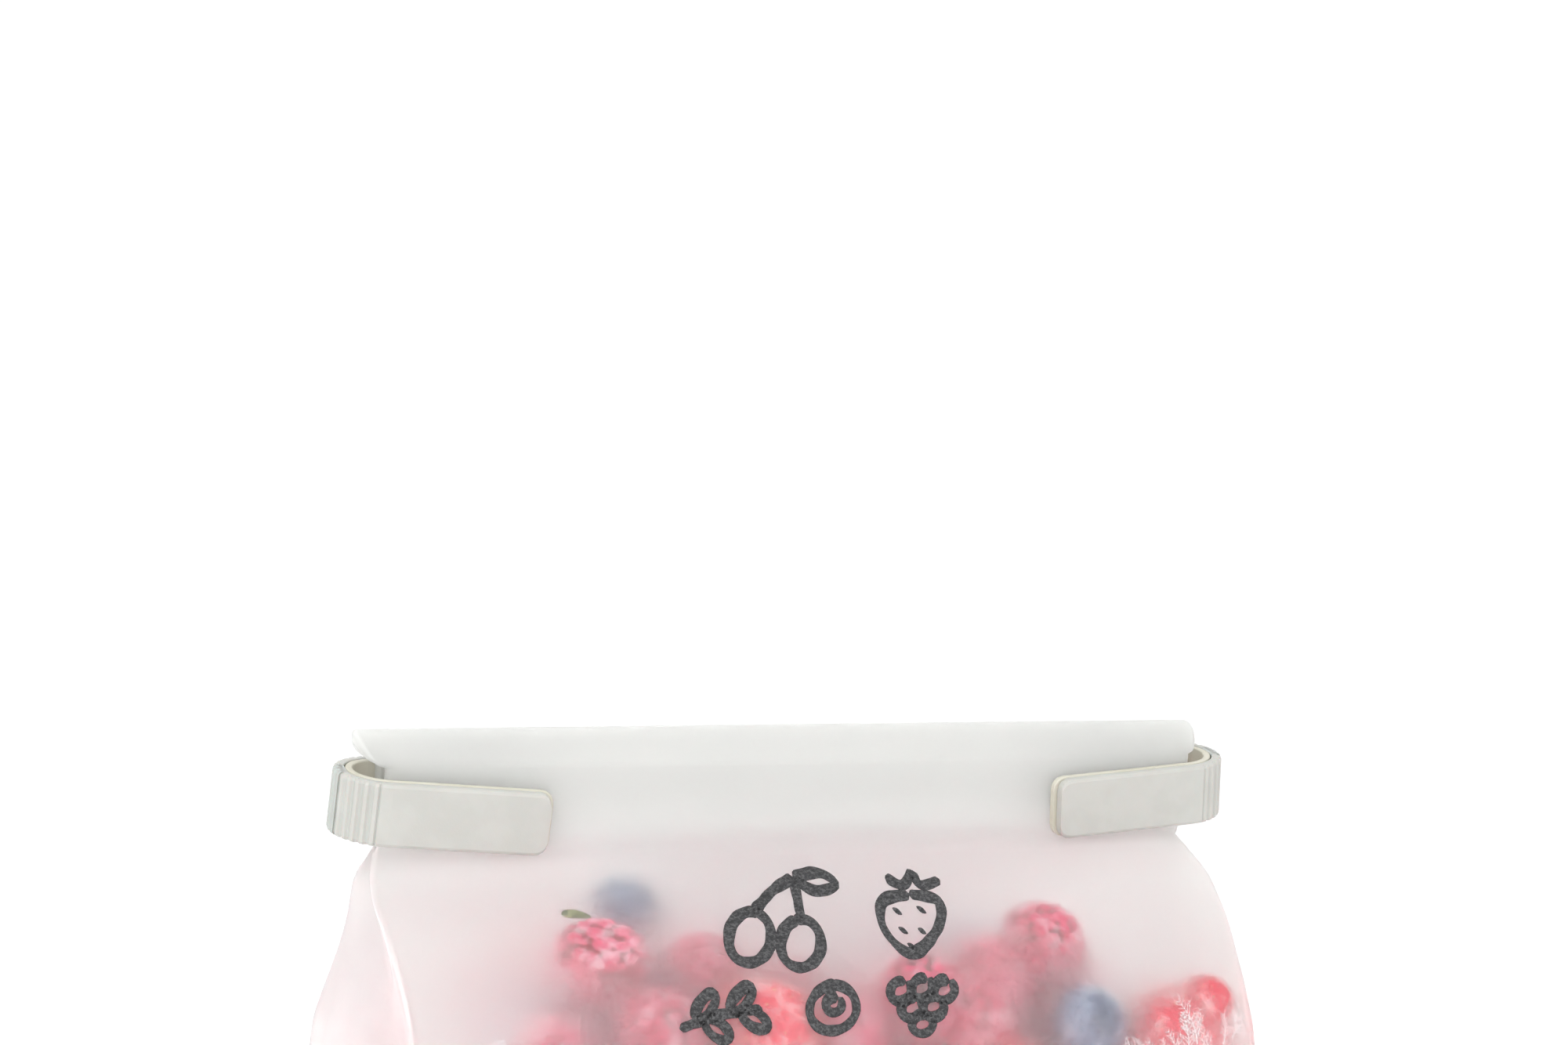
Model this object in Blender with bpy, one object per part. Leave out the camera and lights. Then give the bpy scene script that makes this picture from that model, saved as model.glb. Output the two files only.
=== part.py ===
import math

import bpy
import bmesh

MM = 0.001

# Bag, in millimetres. X is its width, -Y its front, Z up, and it stands on Z = 0.
BAG_HEIGHT = 172.0
CENTRE_X = -1.8  # these bring the middle of the whole object over the origin
CENTRE_Y = -1.0
FOLD_HALF_WIDTH = 94.5
PINCHED_HALF_WIDTH = 90.3  # between the clips' bends
PINCHED_MIDDLE = 1.8
NECK_THICKNESS = 3.4
NECK_Y = -5.2  # where the front and back panels meet, under the clips
FOLD_LEAN = 2.2  # how much further forward the neck stands at the fold
FOLD_RADIUS = 5.0
FOLD_BULGE = 3.2  # the neck and the flap bow apart between the clips
SHOULDER = 0.6  # how soon the neck opens out again above the left clip
FLAP_LENGTH = 12.0
FLOOR_RADIUS = 7.0
RIM_INSET = 0.9

# Height, half width, front depth at the left and at the right, back depth, corner radius, bow of the
# panels, bulge of the side panels
BODY_STATIONS = (
    (7.0, 90.6, 52.4, 51.0, 53.0, 8.5, 0.8, 1.0),
    (16.0, 91.2, 53.4, 51.8, 54.0, 7.5, 1.6, 1.5),
    (30.0, 91.6, 54.2, 52.4, 55.0, 6.2, 2.6, 2.0),
    (45.0, 91.8, 54.8, 52.8, 55.8, 5.2, 3.2, 2.5),
    (60.0, 91.8, 55.0, 53.0, 56.0, 4.4, 3.6, 2.8),
    (76.0, 91.8, 55.0, 53.0, 56.0, 3.8, 3.8, 3.0),
    (88.0, 91.8, 55.0, 52.4, 55.0, 3.4, 3.8, 3.0),
    (98.0, 91.7, 54.8, 51.4, 52.0, 3.2, 3.8, 2.6),
    (106.0, 91.6, 54.2, 50.0, 45.0, 3.0, 3.8, 1.6),
    (112.0, 91.5, 53.2, 48.3, 38.0, 2.9, 3.8, 0.6),
    (117.0, 91.5, 51.4, 45.6, 32.0, 2.9, 3.8, -0.6),
    (122.0, 91.5, 47.2, 42.6, 25.6, 2.8, 3.8, -1.8),
    (126.0, 91.5, 41.4, 39.9, 21.0, 2.7, 3.9, -2.8),
    (130.0, 91.5, 33.0, 36.8, 16.8, 2.6, 4.0, -3.2),
    (134.0, 91.5, 23.6, 33.0, 13.4, 2.4, 4.1, -3.2),
    (138.0, 91.5, 14.2, 28.2, 10.2, 2.2, 4.2, -2.6),
    (141.5, 91.3, 9.4, 23.2, 6.0, 1.9, 4.4, -1.6),
    (144.5, 90.9, 7.6, 15.6, 1.0, 1.6, 3.8, -0.8),
    (147.2, 90.4, 6.9, 8.0, -2.8, 1.2, 3.1, 0.0),
)

PANEL_STEPS = 22
SIDE_STEPS = 8
CORNER_STEPS = 3

# Clips, in millimetres
CLIP_THICKNESS = 4.0
CLIP_HEIGHT = 13.4
CLIP_BEND_WIDTH = 22.4
CLIP_ARM = 33.0
CLIP_SPREAD = math.radians(4.2)
CLIP_LEAN = math.radians(7.5)
CLIP_DROOP = math.radians(3.5)
CLIP_END_RADIUS = 2.6
STRAP_THICKNESS = 2.2  # the liner takes the rest, with a hairline between them
STRAP_EDGE = 0.75
LINER_GAP = 0.3
LINER_EDGE = 0.3
LINER_REACH = 0.7  # how far the liner shows past the strap's ends
CLIP_BEND_X = 88.9
CLIP_BEND_Y = -2.5
CLIP_TOP_LEFT = 163.5
CLIP_TOP_RIGHT = 164.5
FLUTE_PITCH = 1.9
FLUTE_DEPTH = 0.55
FLUTE_COUNT = 8
FLUTE_STEPS = 6


def clear_scene():
    for obj in list(bpy.data.objects):
        bpy.data.objects.remove(obj, do_unlink=True)


def material(name, color, roughness, alpha=1.0):
    mat = bpy.data.materials.new(name)
    mat.use_nodes = True
    shader = mat.node_tree.nodes["Principled BSDF"]
    shader.inputs["Base Color"].default_value = (*color, 1.0)
    shader.inputs["Roughness"].default_value = roughness
    shader.inputs["Alpha"].default_value = alpha
    return mat


def loft(name, rings, mat, cap):
    """A closed solid through rings of equal length, with cap(bm, ring, flip) at both ends."""
    bm = bmesh.new()
    made = [[bm.verts.new([c * MM for c in p]) for p in ring] for ring in rings]
    count = len(made[0])
    for low, high in zip(made, made[1:]):
        for i in range(count):
            j = (i + 1) % count
            bm.faces.new((low[i], low[j], high[j], high[i]))
    cap(bm, made[0], True)
    cap(bm, made[-1], False)
    bmesh.ops.recalc_face_normals(bm, faces=bm.faces)
    for face in bm.faces:
        face.smooth = True
    for edge in bm.edges:
        edge.smooth = len(edge.link_faces) == 2 and edge.calc_face_angle() < math.radians(38)
    mesh = bpy.data.meshes.new(name)
    bm.to_mesh(mesh)
    bm.free()
    mesh.materials.append(mat)
    obj = bpy.data.objects.new(name, mesh)
    bpy.context.scene.collection.objects.link(obj)
    return obj


def bow(x, half):
    """1 at the middle of the width, easing to 0 at the side creases."""
    return 1 - min(abs(x) / half, 1.0) ** 2.8


def section(half, front_left, front_right, back, radius, panel_bow, side_bulge):
    """One level of the bag as (x, depth) points: front panel, right side, back panel, left side."""
    points = []

    def corner(cx, cy, start):
        for k in range(CORNER_STEPS + 1):
            angle = math.radians(start + 90.0 * k / CORNER_STEPS)
            points.append((cx + radius * math.cos(angle), cy + radius * math.sin(angle)))

    def panel(sign, left, right):
        for k in range(1, PANEL_STEPS):
            x = sign * (2 * k / PANEL_STEPS - 1) * (half - radius)
            depth = left + (right - left) * (x / (half - radius) + 1) / 2
            points.append((x, sign * (-depth - panel_bow * bow(x, half - radius))))

    def side(sign, front):
        low, high = -front + radius, back - radius
        for k in range(1, SIDE_STEPS):
            part = k / SIDE_STEPS
            y = low + (high - low) * (part if sign > 0 else 1 - part)
            points.append((sign * (half + side_bulge * math.sin(math.pi * part) ** 2), y))

    panel(1, front_left, front_right)
    corner(half - radius, -front_right + radius, -90)
    side(1, front_right)
    corner(half - radius, back - radius, 0)
    panel(-1, back, back)
    corner(-half + radius, back - radius, 90)
    side(-1, front_left)
    corner(-half + radius, -front_left + radius, 180)
    return points


def bag_cap(bm, ring, flip):
    """Front and back panels joined by strips, with one face over each side's end."""
    panel, side = PANEL_STEPS - 1, SIDE_STEPS - 1 + 2 * (CORNER_STEPS + 1)
    front, right = ring[:panel], ring[panel : panel + side]
    back = ring[panel + side : 2 * panel + side][::-1]
    left = ring[2 * panel + side :]
    for i in range(panel - 1):
        face = (front[i], front[i + 1], back[i + 1], back[i])
        bm.faces.new(face[::-1] if flip else face)
    for face in ((front[-1], *right, back[-1]), (back[0], *left, front[0])):
        bm.faces.new(face[::-1] if flip else face)


def bag_rings():
    rings = []
    z, half, left, right, back, radius, panel_bow, side_bulge = BODY_STATIONS[0]
    for k in range(5):
        angle = math.radians(18.0 * k)
        inset = FLOOR_RADIUS * (1 - math.sin(angle))
        depths = left - inset, right - inset, back - inset
        points = section(half - inset, *depths, max(radius - inset, 1.5), panel_bow, side_bulge)
        rings.append([(x, y, z * (1 - math.cos(angle))) for x, y in points])
    for z, *station in BODY_STATIONS:
        rings.append([(x, y, z) for x, y in section(*station)])

    # The neck is one flat band: it rises, turns over at the fold and hangs down behind as the flap.
    thick = NECK_THICKNESS / 2
    neck_z = 150.5
    arc_z = BAG_HEIGHT - thick - FOLD_RADIUS
    fold_y = NECK_Y - FOLD_LEAN + FOLD_RADIUS
    band = []
    for part in (0.0, 0.35, 0.7, 1.0):
        y, z = NECK_Y - FOLD_LEAN * part, neck_z + (arc_z - SHOULDER - neck_z) * part
        band.append((0.0, PINCHED_HALF_WIDTH, y, z, 0.0, thick))
    for k in range(13):
        turn = math.pi * k / 12
        y, z = fold_y - FOLD_RADIUS * math.cos(turn), arc_z + FOLD_RADIUS * math.sin(turn)
        open_out = max(math.sin(turn), 0.0) ** 0.36
        half = PINCHED_HALF_WIDTH + (FOLD_HALF_WIDTH - PINCHED_HALF_WIDTH) * open_out
        if k in (0, 12):
            open_out, half = 0.5, PINCHED_HALF_WIDTH + PINCHED_MIDDLE / 2
        band.append((open_out, half, y, z, turn, thick))
    back_y = fold_y + FOLD_RADIUS
    for drop in (SHOULDER / FLAP_LENGTH, 0.3, 0.65, 0.92):
        band.append((0.0, PINCHED_HALF_WIDTH, back_y, arc_z - FLAP_LENGTH * drop, math.pi, thick))
    rim_half = PINCHED_HALF_WIDTH - RIM_INSET
    rim = (0.0, rim_half, back_y, arc_z - FLAP_LENGTH, math.pi, thick - RIM_INSET)
    for open_out, half, y, z, turn, depth in band + [rim]:
        middle = PINCHED_MIDDLE * (1 - open_out)
        spread = FOLD_BULGE * (1 - math.sin(turn) * 0.55) * math.cos(turn)
        ring = []
        for x, d in section(half, depth, depth, depth, min(1.05, depth * 0.8), 0.0, 0.0):
            in_depth = y + d * math.cos(turn) - spread * bow(x, half)
            ring.append((x + middle, in_depth, z - d * math.sin(turn)))
        rings.append(ring)
    return [[(x + CENTRE_X, y + CENTRE_Y, z) for x, y, z in ring] for ring in rings]


def flutes():
    """(distance round the bend, how deep the groove is there) from 0 at its front end to 1 at its back."""
    arc = math.pi * (CLIP_BEND_WIDTH - CLIP_THICKNESS) / 2
    stations = []
    first = 0.07 * arc
    for group in (first, arc - first - FLUTE_COUNT * FLUTE_PITCH):
        for k in range(FLUTE_COUNT):
            for m in range(FLUTE_STEPS):
                part = m / FLUTE_STEPS
                groove = max(0.0, math.cos(2 * math.pi * part)) ** 0.5 if k + m else 0.0
                stations.append((group + (k + part) * FLUTE_PITCH, groove))
        stations.append((group + FLUTE_COUNT * FLUTE_PITCH, 0.0))
    return [(d / arc, g) for d, g in stations if 0 < d < arc]


def clip_plan(reach_past, grooved):
    """The clip's centre line in plan, as (x, y, outward angle, groove, distance from its end)."""
    radius = (CLIP_BEND_WIDTH - CLIP_THICKNESS) / 2
    facing = -math.pi / 2 - CLIP_SPREAD
    arm = CLIP_ARM + reach_past
    ends = [CLIP_END_RADIUS * (1 - math.cos(math.radians(22.5 * k))) for k in range(5)]
    front = []
    for d in ends + [6.0, 12.0, 18.0, 24.0, 28.0]:
        x = radius * math.cos(facing) + (arm - d) * math.cos(CLIP_SPREAD)
        y = radius * math.sin(facing) - (arm - d) * math.sin(CLIP_SPREAD)
        front.append((x, y, facing, 0.0, d))
    plan = list(front)
    plain = [(k / 20, 0.0) for k in range(1, 20)]
    for part, groove in [(0.0, 0.0)] + (flutes() if grooved else plain) + [(1.0, 0.0)]:
        angle = facing + (-math.pi + 2 * CLIP_SPREAD) * part
        plan.append((radius * math.cos(angle), radius * math.sin(angle), angle, groove, arm))
    return plan + [(x, -y, -angle, groove, d) for x, y, angle, groove, d in front[::-1]]


def strap_rings(side, top, low, high, low_edge, high_edge, reach_past, grooved):
    """Sections of a strap that lies from low to high off the centre line, low being its inner face."""
    half_h = CLIP_HEIGHT / 2
    rings = []
    for x, y, outward, groove, d in clip_plan(reach_past, grooved):
        short = max(CLIP_END_RADIUS - d, 0.0)
        half = half_h - CLIP_END_RADIUS + math.sqrt(CLIP_END_RADIUS**2 - short**2)
        ring = []
        for sn, sz, start in ((1, -1, -90), (1, 1, 0), (-1, 1, 90), (-1, -1, 180)):
            edge = high_edge if sn > 0 else low_edge
            for k in range(3):
                angle = math.radians(start + 45.0 * k)
                n = (high - edge if sn > 0 else low + edge) + edge * math.cos(angle)
                z = sz * (half - edge) + edge * math.sin(angle)
                n -= FLUTE_DEPTH * groove if sn > 0 else 0.0
                px, py = x + n * math.cos(outward), y + n * math.sin(outward)
                ring.append(place_on_neck(px, py, z - half_h, side, top))
        rings.append(ring)
    return rings


def place_on_neck(x, y, z, side, top):
    """Droops the strap towards its open end, leans it with the neck and moves it to its side of the bag."""
    x, z = (
        x * math.cos(CLIP_DROOP) + z * math.sin(CLIP_DROOP),
        z * math.cos(CLIP_DROOP) - x * math.sin(CLIP_DROOP),
    )
    y, z = (
        y * math.cos(CLIP_LEAN) - z * math.sin(CLIP_LEAN),
        z * math.cos(CLIP_LEAN) + y * math.sin(CLIP_LEAN),
    )
    x -= CLIP_BEND_X
    return (x if side < 0 else -x, y + CLIP_BEND_Y + CENTRE_Y, z + top)


def clip_cap(bm, ring, flip):
    bm.faces.new(ring[::-1] if flip else ring)


clear_scene()
film = material("frosted_film", (0.86, 0.83, 0.82), 0.45)
clip = material("clip_plastic", (0.71, 0.72, 0.67), 0.5)
liner = material("clip_liner", (0.76, 0.74, 0.66), 0.55)
loft("bag", bag_rings(), film, bag_cap)

outer, inner = CLIP_THICKNESS / 2, -CLIP_THICKNESS / 2
parting = outer - STRAP_THICKNESS
for side, side_name, top in ((-1, "clip_left", CLIP_TOP_LEFT), (1, "clip_right", CLIP_TOP_RIGHT)):
    strap = strap_rings(side, top, parting, outer, LINER_EDGE, STRAP_EDGE, 0.0, True)
    pad = strap_rings(
        side, top, inner, parting - LINER_GAP, LINER_EDGE, LINER_EDGE, LINER_REACH, False
    )
    loft(side_name, strap, clip, clip_cap)
    loft(side_name + "_liner", pad, liner, clip_cap)
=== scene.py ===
import math

import bmesh
import bpy
import numpy as np
from mathutils import Euler, Matrix, Vector, noise
from mathutils.bvhtree import BVHTree


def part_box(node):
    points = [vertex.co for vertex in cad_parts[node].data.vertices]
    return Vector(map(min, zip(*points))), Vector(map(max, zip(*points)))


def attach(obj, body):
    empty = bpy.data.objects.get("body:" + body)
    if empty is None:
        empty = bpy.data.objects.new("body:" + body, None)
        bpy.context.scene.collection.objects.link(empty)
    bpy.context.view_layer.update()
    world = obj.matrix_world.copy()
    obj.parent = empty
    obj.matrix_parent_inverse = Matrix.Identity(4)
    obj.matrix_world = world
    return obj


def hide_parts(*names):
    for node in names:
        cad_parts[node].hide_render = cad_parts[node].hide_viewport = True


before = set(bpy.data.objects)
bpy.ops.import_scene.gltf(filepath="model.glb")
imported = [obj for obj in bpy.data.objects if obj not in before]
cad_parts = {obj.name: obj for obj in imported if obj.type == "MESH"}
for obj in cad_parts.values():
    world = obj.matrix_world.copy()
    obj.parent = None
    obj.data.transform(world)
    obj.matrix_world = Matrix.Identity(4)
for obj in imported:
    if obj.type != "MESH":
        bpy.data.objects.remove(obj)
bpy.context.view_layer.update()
mm = 0.001
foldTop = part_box("bag")[1][2]


class Wire:  # a shader socket that takes part in Python arithmetic
    def __init__(self, finish, socket):
        self.finish, self.socket = finish, socket

    def math(self, operation, *values):
        return self.finish.node("Math", {"operation": operation}, *values)

    def __add__(self, other):
        return self.math("ADD", self, other)

    def __sub__(self, other):
        return self.math("SUBTRACT", self, other)

    def __mul__(self, other):
        return self.math("MULTIPLY", self, other)

    def __pow__(self, other):
        return self.math("POWER", self, other)

    def clamped(self):
        return self.math("MINIMUM", self.math("MAXIMUM", self, 0.0), 1.0)


class Finish:  # one material and the nodes that feed it
    def __init__(self, name, color=(0.8, 0.8, 0.8), **values):
        self.material = bpy.data.materials.new(name)
        self.material.use_nodes = True
        self.tree = self.material.node_tree
        self.shader = self.tree.nodes["Principled BSDF"]
        self.shader.inputs["Base Color"].default_value = (*color, 1.0)
        for socket, value in values.items():
            self.shader.inputs[socket.replace("_", " ")].default_value = value

    def plug(self, socket, value):
        if isinstance(value, Wire):
            self.tree.links.new(value.socket, socket)
        elif isinstance(value, tuple) and len(value) == 3 and socket.type == "RGBA":
            socket.default_value = (*value, 1.0)
        else:
            socket.default_value = value

    def node(self, kind, settings, *values, output=0, **named):
        node = self.tree.nodes.new("ShaderNode" + kind)
        for name, value in settings.items():
            setattr(node, name, value)
        for index, value in enumerate(values):
            self.plug(node.inputs[index], value)
        for name, value in named.items():
            self.plug(node.inputs[name.replace("_", " ")], value)
        return Wire(self, node.outputs[output])

    def place(self):
        return self.node("TexCoord", {}, output="Object")

    def noise(self, scale, detail=3.0, roughness=0.5):
        return self.node("TexNoise", {}, Vector=self.place(), Scale=scale, Detail=detail, Roughness=roughness)

    def attribute(self, name):
        return self.node("Attribute", {"attribute_name": name}, output="Fac")

    def blend(self, factor, low, high):
        mix = self.tree.nodes.new("ShaderNodeMix")
        mix.data_type = "RGBA"
        self.plug(mix.inputs[0], factor)
        self.plug(mix.inputs[6], low)
        self.plug(mix.inputs[7], high)
        return Wire(self, mix.outputs[2])

    def span(self, value, low, high, toLow=0.0, toHigh=1.0):
        return self.node("MapRange", {"interpolation_type": "SMOOTHSTEP"}, value, low, high, toLow, toHigh)

    def feed(self, **sockets):
        for name, value in sockets.items():
            self.plug(self.shader.inputs[name.replace("_", " ")], value)
        return self

    def bump(self, height, strength, distance):
        normal = self.node("Bump", {}, Strength=strength, Distance=distance, Height=height)
        return self.feed(Normal=normal)

    def surface(self, shader):
        output = next(n for n in self.tree.nodes if n.type == "OUTPUT_MATERIAL")
        self.tree.links.new(shader.socket, output.inputs["Surface"])
        return self


# the bag's shape in millimetres, the same shell as the CAD solid
bag = {
    "centreX": -1.8,
    "centreY": -1.0,
    "foldHalfWidth": 94.5,
    "pinchedHalfWidth": 90.3,
    "pinchedMiddle": 1.8,
    "neckThickness": 3.4,
    "neckY": -5.2,
    "neckZ": 150.5,
    "foldLean": 2.2,
    "foldRadius": 5.0,
    "foldBulge": 3.2,
    "shoulder": 0.6,
    "flapLength": 12.0,
    "floorRadius": 7.0,
    "height": foldTop / mm,
    "wall": 1.15,
    "neckWall": 0.95,
    "panelSteps": 64,
    "sideSteps": 26,
    "cornerSteps": 6,
    "waviness": 0.45,
}

# height, half width, front depth at the left and at the right, back depth, corner radius,
# bow of the panels, bulge of the sides
bagStations = np.array([
    (7.0, 90.6, 52.4, 51.0, 53.0, 8.5, 0.8, 1.0),
    (16.0, 91.2, 53.4, 51.8, 54.0, 7.5, 1.6, 1.5),
    (30.0, 91.6, 54.2, 52.4, 55.0, 6.2, 2.6, 2.0),
    (45.0, 91.8, 54.8, 52.8, 55.8, 5.2, 3.2, 2.5),
    (60.0, 91.8, 55.0, 53.0, 56.0, 4.4, 3.6, 2.8),
    (76.0, 91.8, 55.0, 53.0, 56.0, 3.8, 3.8, 3.0),
    (88.0, 91.8, 55.0, 52.4, 55.0, 3.4, 3.8, 3.0),
    (98.0, 91.7, 54.8, 51.4, 52.0, 3.2, 3.8, 2.6),
    (106.0, 91.6, 54.2, 50.0, 45.0, 3.0, 3.8, 1.6),
    (112.0, 91.5, 53.2, 48.3, 38.0, 2.9, 3.8, 0.6),
    (117.0, 91.5, 51.4, 45.6, 32.0, 2.9, 3.8, -0.6),
    (122.0, 91.5, 47.2, 42.6, 25.6, 2.8, 3.8, -1.8),
    (126.0, 91.5, 41.4, 39.9, 21.0, 2.7, 3.9, -2.8),
    (130.0, 91.5, 33.0, 36.8, 16.8, 2.6, 4.0, -3.2),
    (134.0, 91.5, 23.6, 33.0, 13.4, 2.4, 4.1, -3.2),
    (138.0, 91.5, 14.2, 28.2, 10.2, 2.2, 4.2, -2.6),
    (141.5, 91.3, 9.4, 23.2, 6.0, 1.9, 4.4, -1.6),
    (144.5, 90.9, 7.6, 15.6, 1.0, 1.6, 3.8, -0.8),
    (147.2, 90.4, 6.9, 8.0, -2.8, 1.2, 3.1, 0.0),
])


def stationAt(z):
    rows = bagStations
    i = int(np.clip(np.searchsorted(rows[:, 0], z) - 1, 0, len(rows) - 2))
    a, b = rows[i], rows[i + 1]
    before, after = rows[max(i - 1, 0)], rows[min(i + 2, len(rows) - 1)]
    gap = b[0] - a[0]
    t = (z - a[0]) / gap
    rise = (b - before) / max(b[0] - before[0], 1e-6) * gap
    run = (after - a) / max(after[0] - a[0], 1e-6) * gap
    t2, t3 = t * t, t * t * t
    return (2 * t3 - 3 * t2 + 1) * a + (t3 - 2 * t2 + t) * rise + (3 * t2 - 2 * t3) * b + (t3 - t2) * run


def bow(x, half):
    return 1 - np.minimum(np.abs(x) / half, 1.0) ** 2.8


def bagLevel(half, frontLeft, frontRight, back, radius, panelBow, sideBulge):
    arc = np.radians(np.linspace(0, 90, bag["cornerSteps"] + 1))
    across = np.linspace(-1, 1, bag["panelSteps"] + 1)[1:-1] * (half - radius)
    part = np.linspace(0, 1, bag["sideSteps"] + 1)[1:-1]
    high = back - radius

    def corner(x, y, start):
        angle = arc + math.radians(start)
        return np.stack([x + radius * np.cos(angle), y + radius * np.sin(angle)], 1)

    def panel(sign, left, right):
        x = across * sign
        depth = left + (right - left) * (x / (half - radius) + 1) / 2
        return np.stack([x, sign * (-depth - panelBow * bow(x, half - radius))], 1)

    def side(sign, front):
        low = -front + radius
        y = low + (high - low) * (part if sign > 0 else 1 - part)
        return np.stack([sign * (half + sideBulge * np.sin(np.pi * part) ** 2), y], 1)

    return np.concatenate([
        panel(1, frontLeft, frontRight), corner(half - radius, radius - frontRight, -90),
        side(1, frontRight), corner(half - radius, high, 0),
        panel(-1, back, back), corner(radius - half, high, 90),
        side(-1, frontLeft), corner(radius - half, radius - frontLeft, 180),
    ])


def bagSurface():
    levels = []
    z0, half, left, right, back, radius, panelBow, sideBulge = bagStations[0]
    for turn in np.radians(np.linspace(0, 90, 9))[:-1]:
        inset = bag["floorRadius"] * (1 - math.sin(turn))
        depths = left - inset, right - inset, back - inset
        ring = bagLevel(half - inset, *depths, max(radius - inset, 1.5), panelBow, sideBulge)
        levels.append(np.column_stack([ring, np.full(len(ring), z0 * (1 - math.cos(turn)))]))
    for z in np.concatenate([np.arange(7.0, 96.0, 3.5), np.arange(96.0, 147.1, 1.6), [147.2]]):
        ring = bagLevel(*stationAt(z)[1:])
        levels.append(np.column_stack([ring, np.full(len(ring), z)]))

    # the flat neck rises, turns over at the fold and hangs down behind as the flap
    thick = bag["neckThickness"] / 2
    radius = bag["foldRadius"]
    arcZ = bag["height"] - thick - radius
    frontY = bag["neckY"] - bag["foldLean"]
    pinched = bag["pinchedHalfWidth"]
    band = []
    for part in np.linspace(0, 1, 7):
        rise = (arcZ - bag["shoulder"] - bag["neckZ"]) * part
        band.append((0.0, pinched, bag["neckY"] - bag["foldLean"] * part, bag["neckZ"] + rise, 0.0, thick))
    for turn in np.linspace(0, math.pi, 31):
        openOut = max(math.sin(turn), 0.0) ** 0.36
        half = pinched + (bag["foldHalfWidth"] - pinched) * openOut
        if openOut < 0.1:
            openOut, half = 0.5, pinched + bag["pinchedMiddle"] / 2
        y, z = frontY + radius - radius * math.cos(turn), arcZ + radius * math.sin(turn)
        band.append((openOut, half, y, z, turn, thick))
    hanging = [(bag["shoulder"] / bag["flapLength"], 0)] + [(drop, 0) for drop in (0.2, 0.4, 0.6, 0.8, 0.93)]
    for drop, inset in hanging + [(0.97, 0.25), (1.0, 0.8)]:  # the rim thins out
        z = arcZ - bag["flapLength"] * drop
        band.append((0.0, pinched - inset, frontY + 2 * radius, z, math.pi, thick - inset))
    for openOut, half, y, z, turn, depth in band:
        spread = bag["foldBulge"] * (1 - math.sin(turn) * 0.55) * math.cos(turn)
        ring = bagLevel(half, depth, depth, depth, min(1.05, depth * 0.8), 0.0, 0.0)
        x, d = ring[:, 0], ring[:, 1]
        depthNow = y + d * math.cos(turn) - spread * bow(x, half)
        levels.append(np.column_stack([x + bag["pinchedMiddle"] * (1 - openOut), depthNow, z - d * math.sin(turn)]))
    shell = np.array(levels)
    shell += (bag["centreX"], bag["centreY"], 0.0)
    return shell


def gridNormals(points):
    around = np.roll(points, -1, 1) - np.roll(points, 1, 1)
    along = np.gradient(points, axis=0)
    normal = np.cross(around, along)
    return normal / np.maximum(np.linalg.norm(normal, axis=2, keepdims=True), 1e-9)


def wavyShell(shell):
    normal = gridNormals(shell)
    out = shell.copy()
    for i in range(shell.shape[0]):
        for j in range(shell.shape[1]):
            x, y, z = shell[i, j]
            fade = min(max(z / 12.0, 0.0), 1.0) * min(max((150.0 - z) / 12.0, 0.0), 1.0)
            if fade > 0:
                broad = noise.noise(Vector((x / 34, y / 34, z / 26 + 7)))
                wave = broad + 0.45 * noise.noise(Vector((x / 13, y / 13, z / 11)))
                out[i, j] += normal[i, j] * wave * bag["waviness"] * fade
    return out


def tubeMesh(bm, points, flip):  # one closed skin through rows of points
    rows, columns = points.shape[:2]
    made = bmesh.ops.create_grid(bm, x_segments=columns, y_segments=rows - 1, size=1.0)["verts"]
    for row in range(rows):
        for column in range(columns + 1):
            made[row * (columns + 1) + column].co = points[row, column % columns] * mm
    bmesh.ops.remove_doubles(bm, verts=made, dist=1e-7)
    made = [v for v in made if v.is_valid]
    rims = [e for v in made for e in v.link_edges if len(e.link_faces) == 1]
    bmesh.ops.holes_fill(bm, edges=list(set(rims)), sides=0)
    faces = list({f for v in made for f in v.link_faces})
    bmesh.ops.recalc_face_normals(bm, faces=faces)
    if flip:
        bmesh.ops.reverse_faces(bm, faces=faces)
    return faces


def finishPiece(name, bm, materials, smooth=True):
    mesh = bpy.data.meshes.new(name)
    bm.to_mesh(mesh)
    bm.free()
    mesh.polygons.foreach_set("use_smooth", [smooth] * len(mesh.polygons))
    for material in materials:
        mesh.materials.append(material)
    piece = bpy.data.objects.new(name, mesh)
    bpy.context.scene.collection.objects.link(piece)
    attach(piece, "root")
    return piece


film = {
    "tint": (0.968, 0.974, 0.966),
    "veilColor": (0.94, 0.943, 0.934),
    "bend": 1.22,
    "outerRoughness": 0.5,
    "innerRoughness": 1.0,
    "outerVeil": 0.2,
    "innerVeil": 0.11,
    "neckVeil": 0.36,
    "neckFrom": 0.140,
    "neckFull": 0.153,
    "grain": 0.26,
    "clouds": 0.14,
    "edge": 0.25,
}


def filmFinish(name, roughness, veil):
    finish = Finish(name, film["tint"], Roughness=roughness, IOR=film["bend"], Transmission_Weight=1.0)
    diffuse = finish.node("BsdfDiffuse", {}, film["veilColor"])
    glow = finish.node("BsdfTranslucent", {}, film["veilColor"])
    milky = finish.node("MixShader", {}, 0.5, diffuse, glow)
    height = finish.node("SeparateXYZ", {}, finish.place(), output=2)
    # the neck is milkier, since more film lies one layer behind another there
    layers = finish.span(height, film["neckFrom"], film["neckFull"], veil, film["neckVeil"])
    grain = (finish.noise(850.0, 4.0, 0.7) - 0.5) * film["grain"]
    clouds = (finish.noise(150.0, 3.0, 0.6) - 0.5) * film["clouds"]
    edge = finish.node("LayerWeight", {}, 0.5, output=1) ** 4.0 * film["edge"]
    amount = (layers + grain + clouds + edge).clamped()
    clear = Wire(finish, finish.shader.outputs[0])
    return finish.surface(finish.node("MixShader", {}, amount, clear, milky)).material


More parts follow.
